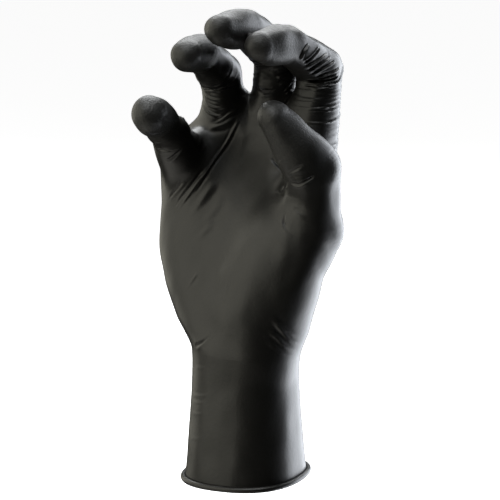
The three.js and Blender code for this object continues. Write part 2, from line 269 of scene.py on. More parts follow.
def palmDepth(points):
    # the section plane through each point gives t; m = (|x / half| ^ n + |y / deep| ^ n) ^ (1 / n)
    # is 1 on the surface there, y counted from the cupped middle line, and the depth is (m - 1)
    # over m's slope; past the last section the distance to it is added
    over = unit(np.cross(palmTable[:, 3:6], palmTable[:, 6:9]))
    height = points @ over.T - (palmTable[:, :3] * over).sum(1)
    j = np.abs(height).argmin(1)
    t = palmSteps[j] + height[np.arange(len(points)), j]
    past = np.maximum(t - palmSteps[-1], 0)
    row = palmAt(np.clip(t, palmSteps[0], palmSteps[-1]))
    away = points - row[:, :3]
    x, y = (away * row[:, 3:6]).sum(1), (away * row[:, 6:9]).sum(1)
    half, n = row[:, 9], form["sectionPower"]
    y = y + row[:, 12] * np.minimum((x / half) ** 2, form["cupLimit"])
    deep = np.where(y < 0, row[:, 10], row[:, 11])
    m = (np.abs(x / half) ** n + np.abs(y / deep) ** n) ** (1 / n) + 1e-9
    steep = np.hypot(np.abs(x / half) ** (n - 1) / half, np.abs(y / deep) ** (n - 1) / deep)
    depth = (m - 1) / np.maximum(steep * m ** (1 - n), 1e-4)
    beyond = np.hypot(np.maximum(depth, 0), past) + np.minimum(depth, 0) * 0.3
    return np.where(past > 0, beyond, depth)


def meld(a, b, k):
    # smooth least of two depths: least minus h^2 k / 4, with h = max(k - |a - b|, 0) / k
    h = np.maximum(k - np.abs(a - b), 0) / k
    return np.minimum(a, b) - h * h * k / 4


# how widely each pad and digit runs into the palm, in mm
melds = {"thumb pad": 12, "thumb heel": 9, "thumb web": 9, "thumb drape": 10, "little drape": 8,
         "thumb": 9, "index": 6, "middle": 6, "ring": 7, "little": 7}


def placeNear(points, path, reach=24.0, far=40.0):
    # placeOnPath for the points within reach of the path's box; the others count as far away
    low, high = path["rows"][:, :3].min(0) - reach, path["rows"][:, :3].max(0) + reach
    near = ((points > low) & (points < high)).all(1)
    found = placeOnPath(points[near], path)
    out = {key: np.zeros(len(points)) for key in found}
    out["depth"] += far
    for key, values in found.items():
        out[key][near] = values
    return out


def placeAll(points):
    # where the points lie on each digit and pad
    return {name: placeNear(points, path) for name, path in paths.items()}


def formDepth(points, places=None):
    # palm melded with the pads and the thumb's root, then with each finger in turn; the fingers
    # are compared with a plain least, so that neighbours which touch keep their crease
    places = places or placeAll(points)
    body = palmDepth(points)
    for name in pads:
        body = meld(body, places[name]["depth"], melds[name])
    best = meld(body, places["thumb"]["depth"], melds["thumb"])
    palmAndThumb = best
    for name in ("index", "middle", "ring", "little"):
        best = np.minimum(best, meld(palmAndThumb, places[name]["depth"], melds[name]))
    return best


# meshes as arrays of points and faces

def quads(rows, columns):
    # the faces of a grid of rings whose columns close on themselves
    i, j = (v.ravel() for v in np.meshgrid(np.arange(rows - 1), np.arange(columns), indexing="ij"))
    k = (j + 1) % columns
    return np.stack([i * columns + j, i * columns + k, (i + 1) * columns + k, (i + 1) * columns + j], 1)


def newMesh(name, points, faces):
    # an object in the scene, with its place in its mesh
    mesh = bpy.data.meshes.new(name)
    mesh.from_pydata(points, [], faces)
    mesh.update()
    thing = bpy.data.objects.new(name, mesh)
    bpy.context.scene.collection.objects.link(thing)
    return thing


def rowsOf(items, what, wide, kind=np.float32):
    # a mesh's values of one sort, a row for each item
    flat = np.empty(len(items) * wide, kind)
    items.foreach_get(what, flat)
    return flat.reshape(-1, wide)


def pointsOf(mesh):
    # the points, one row each
    return rowsOf(mesh.vertices, "co", 3).astype(float)


def putPoints(mesh, points):
    # the points moved to new places
    mesh.vertices.foreach_set("co", points.astype(np.float32).ravel())
    mesh.update()


def normalsOf(mesh):
    # the normals at the points, one row each
    return rowsOf(mesh.vertex_normals, "vector", 3).astype(float)


def apply(thing):
    # the modifiers' result becomes the mesh
    graph = bpy.context.evaluated_depsgraph_get()
    done = bpy.data.meshes.new_from_object(thing.evaluated_get(graph))
    thing.modifiers.clear()
    thing.data = done
    return thing


def neighbourMiddles(mesh, points):
    # the mean of the points that share an edge with each point
    ends = rowsOf(mesh.edges, "vertices", 2, np.int32)
    a, b = np.concatenate([ends[:, 0], ends[:, 1]]), np.concatenate([ends[:, 1], ends[:, 0]])
    total = np.stack([np.bincount(a, points[b, i], len(points)) for i in range(3)], 1)
    return total / np.maximum(np.bincount(a, minlength=len(points)), 1)[:, None]


def between(low, high, v):
    # 0 below low, 1 above high, smooth in between
    t = np.clip((v - low) / (high - low), 0, 1)
    return t * t * (3 - 2 * t)


def remeshed(thing, voxel):
    # even faces of about the voxel's size
    remesh = thing.modifiers.new("even", "REMESH")
    remesh.mode, remesh.voxel_size = "VOXEL", voxel
    return apply(thing).data


film = {
    "grid": 1.3, "fine": 0.55,   # spacing of the depth grid, and of the faces before they are thinned
    "triangles": 150000,         # what is left of them, the most where the film is folded
    "margin": 5.0,               # room round the form in the grid
    "below": 6.0,                # how far the film runs on below the opening before it is cut
    "fixed": 1.5,                # height of its lowest part, which stays as it is
    "rounds": 4,                 # how often the points are brought onto the film and evened out
    "most": 0.8,                 # the furthest that a point goes in one round
    "depths": (-12, 25),         # depths in the grid are held between these
    "tentBlur": 7.0,             # the wider, the further the film spans the hollows of the palm
    "tentBlend": 1.5,
    "tentLift": 6.0,             # how far off the blurred surface is where the film spans nothing
    "shareBlur": 3.0,
    # heights between which the film starts to span hollows: none below, all above
    "spansFrom": (78, 102),
    # the same at the back of the wrist: z from and to, y, and x
    "wristFrom": (42, 52), "wristTo": (66, 78), "wristBehind": (-4, 4), "wristAcross": (4, 14),
    # how far up each digit, in mm along it, the film may still span: all of it, none of it
    "spansTo": {"index": (14, 34), "middle": (14, 34), "ring": (18, 36), "little": (30, 46),
                "thumb": (56, 72)},
    "nearDigit": (4, 12),        # depth off a digit at which that begins to hold, and doesn't at all
    "sharpAngle": 55,            # degrees from which an edge is shaded as sharp
}


def tentShare(points, places):
    # 1 where the film may span a hollow, over the palm, the ball of the thumb and the back of the
    # wrist, and 0 along the fingers and the cuff
    x, y, z = points.T
    wristBack = between(*film["wristFrom"], z) * (1 - between(*film["wristTo"], z)) \
        * between(*film["wristBehind"], y) * (1 - between(*film["wristAcross"], x))
    share = np.maximum(between(*film["spansFrom"], z), wristBack)
    for name in digits:
        place = places[name]
        near = 1 - between(*film["nearDigit"], place["depth"])
        start, stop = film["spansTo"][name]
        share = share * (1 - near * between(start, stop, place["s"]))
    return share


def blurred(field, spread):
    # weights exp(-(distance / spread)^2 / 2) along each axis in turn, the edges repeated
    reach = int(3 * spread)
    weight = np.exp(-0.5 * (np.arange(-reach, reach + 1) / spread) ** 2)
    weight /= weight.sum()
    for axis in range(3):
        padded = np.pad(field, [(reach, reach) if i == axis else (0, 0) for i in range(3)], "edge")
        count = field.shape[axis]
        field = sum(w * np.take(padded, range(i, i + count), axis) for i, w in enumerate(weight))
    return field


def sampled(grid, points):
    # the grid's values between its corners, weighted by nearness along x, y and z
    at = np.clip((points - grid["low"]) / grid["step"], 0, np.array(grid["values"].shape) - 1.001)
    i = at.astype(int)
    t = at - i
    total = 0
    for corner in np.ndindex(2, 2, 2):
        c = np.array(corner)
        weight = np.prod(np.where(c, t, 1 - t), axis=1)
        total = total + weight * grid["values"][tuple((i + c).T)]
    return total


def netOf(grid):
    # the surface where the grid's values are 0: a point in every cell that it crosses, at the mean
    # of its crossings with the cell's edges, and a face round every grid edge that it crosses
    values, inside = grid["values"], grid["values"] < 0
    size = np.array(values.shape)
    cells = tuple(size - 1)
    corners = {c: values[tuple(slice(v, v + n) for v, n in zip(c, cells))] for c in np.ndindex(2, 2, 2)}
    filled = sum((v < 0).astype(int) for v in corners.values())
    active = (filled > 0) & (filled < 8)
    cell = np.argwhere(active)
    number = np.full(cells, -1)
    number[active] = np.arange(len(cell))
    total, count = np.zeros((len(cell), 3)), np.zeros((len(cell), 1))
    for axis in range(3):
        for c in np.ndindex(2, 2, 2):
            if c[axis]:
                continue
            d = tuple(1 if i == axis else v for i, v in enumerate(c))
            a, b = corners[c][active], corners[d][active]
            crossed = (a < 0) != (b < 0)
            at = np.tile(np.array(c, float), (len(cell), 1))
            at[:, axis] = a / np.where(crossed, a - b, 1)
            total += at * crossed[:, None]
            count += crossed[:, None]
    points = grid["low"] + grid["step"] * (cell + total / count)
    faces = []
    for axis in range(3):
        u, v = (axis + 1) % 3, (axis + 2) % 3
        lower = tuple(slice(0, -1) if i == axis else slice(1, -1) for i in range(3))
        upper = tuple(slice(1, None) if i == axis else slice(1, -1) for i in range(3))
        edge = np.argwhere(inside[lower] != inside[upper])
        edge[:, [u, v]] += 1
        out = inside[tuple(edge.T)]
        us, vs = np.eye(3, dtype=int)[u], np.eye(3, dtype=int)[v]
        steps = ((0, 0), (1, 0), (1, 1), (0, 1))
        face = np.stack([number[tuple((edge - a * us - b * vs).T)] for a, b in steps], 1)
        faces.append(np.where(out[:, None], face, face[:, ::-1]))
    return points, np.vstack(faces)


def inParts(work, *arrays, part=50000):
    # the same work on a part of the points at a time, to spare memory
    count = len(arrays[0]) // part + 1
    return np.concatenate([work(*some) for some in zip(*(np.array_split(v, count) for v in arrays))])


def depthAndShare(points):
    # formDepth and tentShare side by side
    places = placeAll(points)
    return np.stack([np.clip(formDepth(points, places), *film["depths"]), tentShare(points, places)], 1)


def depthGrid():
    # formDepth on a grid, and beside it the blurred depth, which lies outside the form in hollows
    rows = np.vstack([*(path["rows"] for path in paths.values()), palmTable[:, :12]])
    low = (rows[:, :3] - rows[:, 9:12].max(1)[:, None]).min(0) - film["margin"]
    high = (rows[:, :3] + rows[:, 9:12].max(1)[:, None]).max(0) + film["margin"]
    low[2] = -film["below"] - film["margin"]
    counts = np.ceil((high - low) / film["grid"]).astype(int) + 1
    points = low + film["grid"] * np.indices(counts).reshape(3, -1).T
    depth, share = (v.reshape(counts) for v in inParts(depthAndShare, points).T)
    spread = film["tentBlur"] / film["grid"]
    share = blurred(share, film["shareBlur"] / film["grid"])
    tent = blurred(depth, spread) + film["tentLift"] * (1 - share)
    grid = {"low": low, "step": film["grid"]}
    return {**grid, "values": depth}, {**grid, "values": tent}


depths, tent = depthGrid()
print("depth grid", depths["values"].shape)


def filmDepth(points):
    # below the drawn film: formDepth melded with the tent over the hollows
    return meld(inParts(formDepth, points), sampled(tent, points), film["tentBlend"])


def settled(mesh, points, rounds, depthOf=filmDepth, most=film["most"]):
    # onto the surface along the normals by depthOf, at most so far in a round, and evened out by half
    # the way to the neighbours' middle between the rounds; the flat lower end stays
    loose = (points[:, 2] > film["fixed"] - film["below"])[:, None]
    for turn in range(rounds):
        putPoints(mesh, points)
        n = normalsOf(mesh)
        points = points - n * np.clip(depthOf(points), -most, most)[:, None] * loose
        move = 0.5 * (neighbourMiddles(mesh, points) - points) * loose
        points = points + (move - n * (move * n).sum(1)[:, None]) * (turn < rounds - 1)
    putPoints(mesh, points)


def drawnFilm():
    # the net of the melded grids, settled, made finer and settled again
    melded = meld(depths["values"], tent["values"], film["tentBlend"])
    z = depths["low"][2] + depths["step"] * np.arange(melded.shape[2])
    melded = np.maximum(melded, -film["below"] - z)
    points, faces = netOf({**depths, "values": melded})
    thing = newMesh("film", points, faces.tolist())
    settled(thing.data, points, film["rounds"])
    print("net of", len(points), "points")
    mesh = remeshed(thing, film["fine"])
    settled(mesh, pointsOf(mesh), film["rounds"])
    return thing


# folds of the film: each runs through points on it, in mm, with its width, its height (a crease
# is below 0), and its kind
folds = [
    ((-13.8, 20.6, 158.6), (-17.7, 14.9, 146.5), (-22.5, 10, 137.4), (-27.3, 5.8, 127.2),
     (-32.8, 3.6, 118.5), 0.59, 0.75, 1),
    ((-25.6, 7.4, 134.8), (-29, 5.3, 129.4), (-35.2, 4.1, 121.3), (-40.7, 3.6, 114), 0.55, -0.5, 0),
    ((-22.9, 9.7, 137.4), (-27, 6.2, 129.5), (-32.6, 4.1, 121.1), (-38.5, 2.6, 113), 0.67, 0.45, 1),
    ((-33.5, 3.2, 129.8), (-38.3, 4.1, 124.2), (-44.1, 5.7, 118.4), 0.59, -0.4, 0),
    ((-19.6, 8.6, 129.8), (-24.3, 5, 121.8), (-31, 0.6, 111), 1.6, 0.35, 1),
    ((-14.2, 6.4, 123.4), (-19.4, 2.1, 115.1), (-26, -1.7, 106.5), 1.8, 0.25, 1),
    ((-16.8, 1.2, 113.3), (-20.5, -1.3, 107.9), (-24.5, -3.2, 102.9), 1.6, 0.25, 1),
    ((-19.7, -8, 91.2), (-22.2, -8.9, 87.1), (-25, -9.5, 82.8), 0.67, 0.2, 1),
    ((-15.7, 18.6, 156.5), (-20, 16.2, 153.8), (-25.7, 15.4, 151.6), (-30.6, 14.9, 150), 1.3, 0.5, 1),
    ((-14.7, 20.5, 160.3), (-18.2, 17.5, 158.2), (-22.3, 15.8, 155), (-26.3, 15.6, 153.4),
     0.67, 0.6, 1),
    ((-10.7, 18.8, 152.4), (-11.4, 14.7, 143), (-16.1, 9.5, 130.8), 2.2, 0.3, 1),
    ((-30.7, 16.1, 167.4), (-27.6, 15.2, 165), (-23, 15.3, 164.4), (-19, 17.2, 165.4), 0.52, 0.45, 1),
    ((-31.1, 16.7, 164.5), (-28.5, 15.8, 161.7), (-22.7, 15.7, 160.8), (-17.6, 18.3, 162.2),
     0.52, 0.55, 1),
    ((-34.1, 19.9, 161.2), (-28.7, 16.2, 158.5), (-23.3, 15.7, 157.2), (-18.2, 17.6, 159.1),
     0.59, 0.6, 1),
    ((-27.6, 12.7, 170.7), (-24.7, 14.7, 168.4), (-20.4, 16.2, 168.1), 0.52, 0.35, 1),
    ((-29.3, -35.6, 157.1), (-27, -30.5, 155.3), (-24.4, -24.2, 156.8), 0.59, -0.55, 0),
    ((-40.6, -12.6, 148.6), (-34, -15.6, 148.7), (-28.7, -14.3, 150.7), 0.59, 0.12, 1),
    ((-41.4, -7.3, 144.2), (-36.1, -8.2, 143.9), (-30.1, -5.5, 145.3), 0.59, -0.45, 0),
    ((-38, -4.4, 138.7), (-32.7, -5.4, 142), (-29.2, -4.4, 145.7), 0.67, -0.5, 0),
    ((20.8, 10.6, 185.5), (22.4, 11, 189), (22.9, 13.7, 192.2), 0.5, 0.94, 2),
    ((21.2, 12.6, 184), (23.9, 15.5, 186.5), (24.7, 20.6, 189.9), 0.5, -0.88, 2),
    ((20.5, 13.9, 182.1), (24.6, 17.9, 184.1), (26.5, 25.5, 187.3), 0.5, 0.75, 2),
    ((20.3, 16.1, 180.1), (25.4, 20.1, 182.6), (27.4, 26.6, 185.5), 0.5, 0.75, 2),
    ((20.4, 18.5, 178.1), (25.9, 22, 180.7), (28.1, 29, 183.5), 0.5, 0.75, 2),
    ((22, 21.1, 176.6), (26.8, 25, 178.2), (28.7, 31.6, 180.2), 0.5, 0.75, 2),
    ((14.9, 22.4, 175.1), (21.7, 22.6, 174.7), (26.6, 25.5, 175.5), (28.8, 30.5, 177.3), 0.5, -1, 2),
    ((15.2, 22.8, 172), (23.1, 22.9, 171.7), (28.2, 28.1, 172.3), 0.5, 0.38, 2),
    ((1.7, 23.7, 174.5), (4.6, 25.7, 176.7), (6, 28, 178.4), 0.67, 0.7, 1),
    ((2.5, 24.1, 171.8), (5.2, 26.5, 173.5), (6.3, 28.2, 175.6), 0.52, 0.55, 1),
    ((4.9, 25.3, 168.6), (5.8, 27.3, 170.8), (6.6, 29.3, 173.3), 0.37, 0.6, 1),
    ((5.2, 25.6, 167.4), (6.4, 28, 168.8), (7, 29.6, 169.7), 0.44, 0.5, 1),
    ((-7.9, 23.7, 171.6), (-4.7, 22.6, 169.3), (-0.8, 22.7, 169.5), (1.7, 23.7, 171.4), 0.59, 0.5, 1),
    ((-4.6, 22.4, 166.2), (0.1, 23, 168.3), (3.6, 24.9, 170.9), 0.59, 0.4, 1),
    ((2.4, 22.8, 162.5), (5.6, 24.1, 164.1), (7.3, 26.4, 166.6), 0.59, 0.5, 1),
    ((-7.4, 23.7, 177.9), (-2.7, 22.6, 175.6), (0.9, 23.3, 174.9), 1.2, 0.3, 1),
    ((32.5, -7, 144), (27.6, -6.8, 141), (23.8, -5.1, 139.1), 0.62, -0.4, 0),
    ((25.2, -4.9, 135.3), (28.9, -5.6, 134.8), (32.7, -5.4, 136.5), (36.3, -4.2, 138.8), 0.55, -0.6, 3),
    ((26, -5.6, 137.2), (30.6, -6, 137.7), (34.9, -5.2, 140.5), 0.87, 0.19, 1),
    ((23.8, -4.3, 135), (18.8, 0.4, 131.6), (15.3, 2.3, 128.3), 0.62, -0.49, 0),
    ((5.1, 13.3, 141.6), (9.3, 12.1, 138.5), (13.4, 11, 135.8), 0.67, -0.5, 0),
    ((25.4, -4.4, 124.3), (29.1, -4.9, 122.6), (32.7, -4.5, 121.1), 0.62, -0.2, 0),
    ((26.1, -4.7, 122.7), (29.7, -5.1, 120.9), (33.2, -4.4, 119.9), 1.56, 0.19, 1),
    ((21.6, -3.7, 122.1), (22, -5.2, 117.5), (26.1, -6.5, 113.8), 0.62, -0.22, 0),
    ((19.9, -4.1, 119.3), (21.9, -6, 115.1), (26.9, -7.1, 111.4), 0.68, 0.19, 1),
    ((-17.2, -14.8, 59.5), (-13.2, -16.3, 61.7), (-7, -16.5, 67.6), 0.67, -0.4, 0),
    ((19.7, -13.2, 77), (24.9, -9.2, 71.4), (27.8, -1, 65.5), 1.2, 0.32, 1),
    ((21.2, -12.4, 74.4), (25.2, -8, 67.6), (26.8, 0.9, 61.3), 0.74, 0.3, 1),
    ((18.9, -13.5, 71.6), (23.4, -10, 65.6), (25.8, 0, 57.8), 1.1, 0.38, 1),
    ((18.2, -14.1, 67.7), (22.4, -11, 62.2), (25.2, -5.2, 57.6), 1.1, 0.24, 1),
    ((-16.6, -15, 50), (-12.9, -16.8, 50.5), (-7.5, -18.2, 52.5), 0.67, 0.05, 1),
    ((-20, -13, 36.6), (-11.8, -17.9, 38.2), (-5, -19, 40.9), 0.74, 0.07, 1),
    ((-19.5, -13.8, 33.7), (-12.9, -17.8, 34.8), (-8.1, -19, 36.3), 0.67, 0.05, 1),
    ((-20.1, -13.8, 28.5), (-13.3, -18.2, 29.8), (-8.4, -19.4, 31.8), 0.67, 0.05, 1),
    ((-20.8, -14.5, 17), (-13.9, -19, 18.9), (-9.5, -20.2, 20.4), 0.67, 0.04, 1),
]

# by kind: how deep the valleys beside the fold are and where, in widths, and where along it the
# fold starts to fade: 0 plain, 1 with a deeper valley on one side, 2 as 1 and 3 as 0 to the far end
foldKinds = {0: ((0.3, 2), (0.3, -2), 0.4), 1: ((0.5, 1.8), (0.25, -1.9), 0.4),
             2: ((0.5, 1.8), (0.25, -1.9), 0.85), 3: ((0.3, 2), (0.3, -2), 0.85)}

# of every fold: points on its curve, the share of it over which it swells, its width at the start
# and how much of that goes by the end, and how far in mm it shows past its ends and off the curve
foldRun = {"points": 40, "swells": 0.25, "starts": 1.15, "narrows": 0.45, "past": 1.5, "off": 3}

# rings of folds round a digit: digit, from and to along it, count, middle angle from its palm side
# towards the thumb, reach to each side, height, width, slant in mm over 45 degrees, bow in mm over
# 60, seed
rings = [
    ("index", 3, 38, 15, 40, 60, 0.24, 0.45, 0.6, 1.0, 3),
    ("index", 2, 37, 16, 105, 70, 0.38, 0.5, 2.2, 1.5, 37),
    ("middle", 10, 36, 8, -60, 70, 0.2, 0.58, 1.5, 2.0, 5),
    ("middle", 12, 38, 8, 120, 60, 0.16, 0.58, -1.0, 2.0, 7),
    ("ring", 8, 34, 8, 110, 60, 0.2, 0.58, -1.5, 2.0, 11),
    ("ring", 10, 34, 6, -100, 50, 0.14, 0.58, 1.5, 2.0, 13),
    ("little", 4, 22, 6, 100, 60, 0.25, 0.58, -1.0, 2.0, 17),
    ("middle", 40, 56, 6, 0, 70, 0.3, 0.58, 0.5, 1.5, 19),
    ("ring", 36, 50, 6, 0, 70, 0.3, 0.58, 0.5, 1.5, 23),
    ("index", 52, 62, 3, -30, 60, 0.2, 0.58, 0.5, 1.5, 29),
    ("thumb", 70, 84, 4, 0, 60, 0.15, 0.58, 0.5, 1.5, 31),
]

# how a ring's place, reach, width, bow and height may vary, the valley beside it, its depth and
# its place in widths, and how far off the digit the ring shows, in mm
ringRun = {"place": (-0.4, 0.4), "reach": (0.6, 1.1), "width": (0.7, 1.3), "bow": (-0.6, 1),
           "height": (0.4, 1.1), "valley": (0.6, 1.7), "off": 1.5, "offMost": 6}


def bell(v):
    # exp(-v^2)
    return np.exp(-v * v)


def foldCurve(fold, count):
    # so many points on the smooth curve through the fold's own
    line = np.array(fold[:-3], float)
    return smoothThrough(np.linspace(0, 1, len(line)), line, np.linspace(0, 1, count))


def foldHeights(points, normals):
    # across each fold: height * (bell(d) - valleys), where d is the way to the side of its curve in
    # widths; along it the height swells and fades to the other end, while the width narrows
    total = np.zeros(len(points))
    for fold in folds:
        *line, width, height, kind = fold
        low, high = np.min(line, 0) - 6 * width - 1, np.max(line, 0) + 6 * width + 1
        near = np.flatnonzero(((points > low) & (points < high)).all(1))
        if not len(near):
            continue
        u = np.linspace(0, 1, foldRun["points"])
        curve = foldCurve(fold, foldRun["points"])
        along = unit(np.gradient(curve, axis=0))
        p, n = points[near], normals[near]
        j = ((p[:, None] - curve[None]) ** 2).sum(2).argmin(1)
        away = p - curve[j]
        side = np.cross(n, along[j])
        past = (away * along[j]).sum(1)
        off = (away * n).sum(1)
        d = (away * side).sum(1) / (width * (foldRun["starts"] - foldRun["narrows"] * u[j]))
        (deep, there), (deepToo, thereToo), fadesFrom = foldKinds[kind]
        shape = bell(d) - deep * bell(d - there) - deepToo * bell(d - thereToo)
        fade = between(0, foldRun["swells"], u[j]) * (1 - between(fadesFrom, 1, u[j]))
        fade = fade * bell(past / foldRun["past"]) * bell(off / foldRun["off"])
        total[near] += height * shape * fade
    return total


def ringHeights(places):
    # bands across a digit at seeded places along it, bell(way along it / width), each fading
    # round the digit away from its own middle angle
    total = 0
    for name, start, stop, count, middle, reach, height, width, slant, bow, seed in rings:
        place, chance = places[name], np.random.default_rng(seed)
        off = place["depth"]
        here = bell(np.maximum(off, 0) / ringRun["off"]) * (off < ringRun["offMost"])
        for s in np.linspace(start, stop, count):
            s = s + chance.uniform(*ringRun["place"]) * (stop - start) / count
            centre = middle + chance.uniform(*ringRun["place"]) * reach
            turn = (place["round"] - centre + 180) % 360 - 180
            wide = reach * chance.uniform(*ringRun["reach"])
            w = width * chance.uniform(*ringRun["width"])
            bent = bow * (turn / 60) ** 2 * chance.uniform(*ringRun["bow"])
            d = place["s"] - s - slant * turn / 45 - bent
            tall = height * chance.uniform(*ringRun["height"])
            shape = bell(d / w) - ringRun["valley"][0] * bell((d - ringRun["valley"][1] * w) / w)
            total = total + tall * shape * here * bell(turn / wide) * (np.abs(turn) < 2 * wide)
    return total


# slight unevenness everywhere, in waves of these lengths in mm and heights, more along the digits
waves = {"count": 16, "shortest": 7.0, "longest": 18.0, "onPalm": 0.012, "onDigits": 0.045,
         "digitFrom": (15, 35), "offDigit": (1, 4), "seed": 41}


def waveHeights(points, places):
    # a sum of sin(2 pi * way along a seeded direction / length), the longer ones higher
    chance = np.random.default_rng(waves["seed"])
    total = np.zeros(len(points))
    for length in np.linspace(waves["shortest"], waves["longest"], waves["count"]):
        along = unit(chance.normal(size=3))
        start = chance.uniform(0, 6.28)
        total += length / waves["shortest"] * np.sin(2 * np.pi * (points @ along) / length + start)
    onDigit = 0
    for name in digits:
        s, depth = places[name]["s"], places[name]["depth"]
        here = between(*waves["digitFrom"], s) * (1 - between(*waves["offDigit"], depth))
        onDigit = np.maximum(onDigit, here)
    return total * (waves["onPalm"] + (waves["onDigits"] - waves["onPalm"]) * onDigit)


# how far from each digit's tip the film starts to be pebbled and is in full, and off the digit
pebbled = {"from": 24, "full": 12, "off": (1.5, 4)}


def textured(places):
    # 1 at the end of each digit, where the film is pebbled, and 0 elsewhere
    share = 0
    for name, digit in digits.items():
        s, depth, whole = places[name]["s"], places[name]["depth"], sum(digit["lengths"])
        near = between(whole - pebbled["from"], whole - pebbled["full"], s)
        share = np.maximum(share, near * (1 - between(*pebbled["off"], depth)))
    return share


def foldedNearby(points, reach=2.5):
    # true within reach of a fold, and along the digits where the rings are
    found = np.zeros(len(points), bool)
    for fold in folds:
        low, high = np.min(fold[:-3], 0) - reach, np.max(fold[:-3], 0) + reach
        near = np.flatnonzero(((points > low) & (points < high)).all(1))
        if len(near):
            gap = points[near][:, None] - foldCurve(fold, 24)[None]
            found[near] |= (gap ** 2).sum(2).min(1) < reach ** 2
    for name, start, stop in (ring[:3] for ring in rings):
        place = placeNear(points, paths[name], 4.0)
        found |= (place["depth"] < 3) & (place["s"] > start - 1) & (place["s"] < stop + 1)
    return found


def refined(mesh):
    # every face whose corners lie in a folded part is cut in four
    near = inParts(foldedNearby, pointsOf(mesh))
    shape = bmesh.new()
    shape.from_mesh(mesh)
    shape.verts.ensure_lookup_table()
    edges = [e for e in shape.edges if near[e.verts[0].index] and near[e.verts[1].index]]
    bmesh.ops.subdivide_edges(shape, edges=edges, cuts=1, use_grid_fill=True)
    shape.to_mesh(mesh)
    shape.free()


def riseAndTexture(points, normals):
    # how far folds, rings and waves lift each point, and beside it how pebbled it is
    places = placeAll(points)
    rise = foldHeights(points, normals) + ringHeights(places) + waveHeights(points, places)
    return np.stack([rise, textured(places)], 1)


def creased(thing):
    # every point out along its normal by its rise; how pebbled the film is stays in the attribute
    # "texture", and the mesh is thinned
    mesh = thing.data
    refined(mesh)
    settled(mesh, pointsOf(mesh), 1)
    points, n = pointsOf(mesh), normalsOf(mesh)
    rise, texture = inParts(riseAndTexture, points, n).T
    kept = mesh.attributes.new("texture", "FLOAT", "POINT")
    kept.data.foreach_set("value", texture.astype(np.float32))
    putPoints(mesh, points + n * rise[:, None])
    thin = thing.modifiers.new("thin", "DECIMATE")
    thin.ratio = min(1, film["triangles"] / sum(len(p.vertices) - 2 for p in mesh.polygons))
    return apply(thing)


def cutAtOpening(thing, height):
    # what is below the height goes, and a flat face closes the cut
    shape = bmesh.new()
    shape.from_mesh(thing.data)
    bmesh.ops.bisect_plane(shape, geom=[*shape.verts, *shape.edges, *shape.faces],
                           plane_co=(0, 0, height), plane_no=(0, 0, -1), clear_outer=True)
    bmesh.ops.holes_fill(shape, edges=[e for e in shape.edges if e.is_boundary], sides=0)
    bmesh.ops.recalc_face_normals(shape, faces=shape.faces)
    shape.to_mesh(thing.data)
    shape.free()
    return thing


# the film's thickness at the cuff and further up, in mm, and the heights between which it changes;
# the grid's steps that the net of the inside takes at a time, and how far below the opening it starts
wall = {"cuff": 0.55, "palm": 1.2, "thickens": (10, 60), "steps": 2, "rounds": 5, "most": 1,
        "startsBelow": 3.0}


def wallAt(points):
    # the thickness at a height, smooth from the cuff's to the palm's
    return wall["cuff"] + (wall["palm"] - wall["cuff"]) * between(*wall["thickens"], points[:, 2])


def insideDepth(points):
    # below the film's inner side
    return filmDepth(points) + wallAt(points)


def cavity():
    # the inside of the glove: the net of the melded grids at the wall's depth, settled there
    every = slice(None, None, wall["steps"])
    values = meld(depths["values"], tent["values"], film["tentBlend"])[every, every, every]
    step = depths["step"] * wall["steps"]
    z = depths["low"][2] + step * np.arange(values.shape[2])
    thick = wallAt(np.stack([0 * z, 0 * z, z], 1))
    values = np.maximum(values + thick, -film["below"] - z)
    points, faces = netOf({"low": depths["low"], "step": step, "values": values})
    thing = newMesh("cavity", points, faces.tolist())
    settled(thing.data, points, wall["rounds"], insideDepth, wall["most"])
    return cutAtOpening(thing, -wall["startsBelow"])


# the rolled bead: its radius, how far its middle stands off the film, points round it and across
bead = {"radius": 1.3, "standsOff": 0.9, "around": 260, "facets": 14}


def beadRing():
    # a circle carried round the lowest section, out * cos - z * sin, along the mean of nearby normals
    a = np.linspace(0, 2 * np.pi, bead["around"], endpoint=False)
    row, c, s, power = palmRows[0], np.cos(a), np.sin(a), 2 / form["sectionPower"]
    x = row[9] * np.sign(c) * np.abs(c) ** power
    y = np.where(s < 0, row[10], row[11]) * np.sign(s) * np.abs(s) ** power
    run = np.stack([np.roll(x, -1) - np.roll(x, 1), np.roll(y, -1) - np.roll(y, 1)], 1)
    run = unit(run + np.roll(run, 1, 0) + np.roll(run, -1, 0))
    out = np.stack([run[:, 1], -run[:, 0], 0 * x], 1)
    turn = np.linspace(0, 2 * np.pi, bead["facets"], endpoint=False)[None, :, None]
    middle = np.stack([x, y, 0 * x], 1) + bead["standsOff"] * out
    circle = np.cos(turn) * out[:, None] - np.sin(turn) * np.array([0, 0, 1.0])
    points = (middle[:, None] + bead["radius"] * circle).reshape(-1, 3)
    faces = quads(bead["around"] + 1, bead["facets"]) % len(points)
    return newMesh("bead", points, faces.tolist())


def joined(thing, other, operation):
    # the two closed meshes as one, by union or difference
    both = thing.modifiers.new(operation, "BOOLEAN")
    both.operation, both.object, both.solver = operation, other, "MANIFOLD"
    apply(thing)
    bpy.data.objects.remove(other)
    return thing


def leaned(points):
    # the opening leans: z gains tan(tilt) times the way along the heading, fading out with height
    share = np.clip(1 - points[:, 2] / form["tiltFades"], 0, 1)
    heading = np.radians(form["openingTowards"])
    reach = points[:, 0] * np.cos(heading) + points[:, 1] * np.sin(heading)
    out = points.copy()
    out[:, 2] += share * np.tan(np.radians(form["openingTilt"])) * reach
    return out


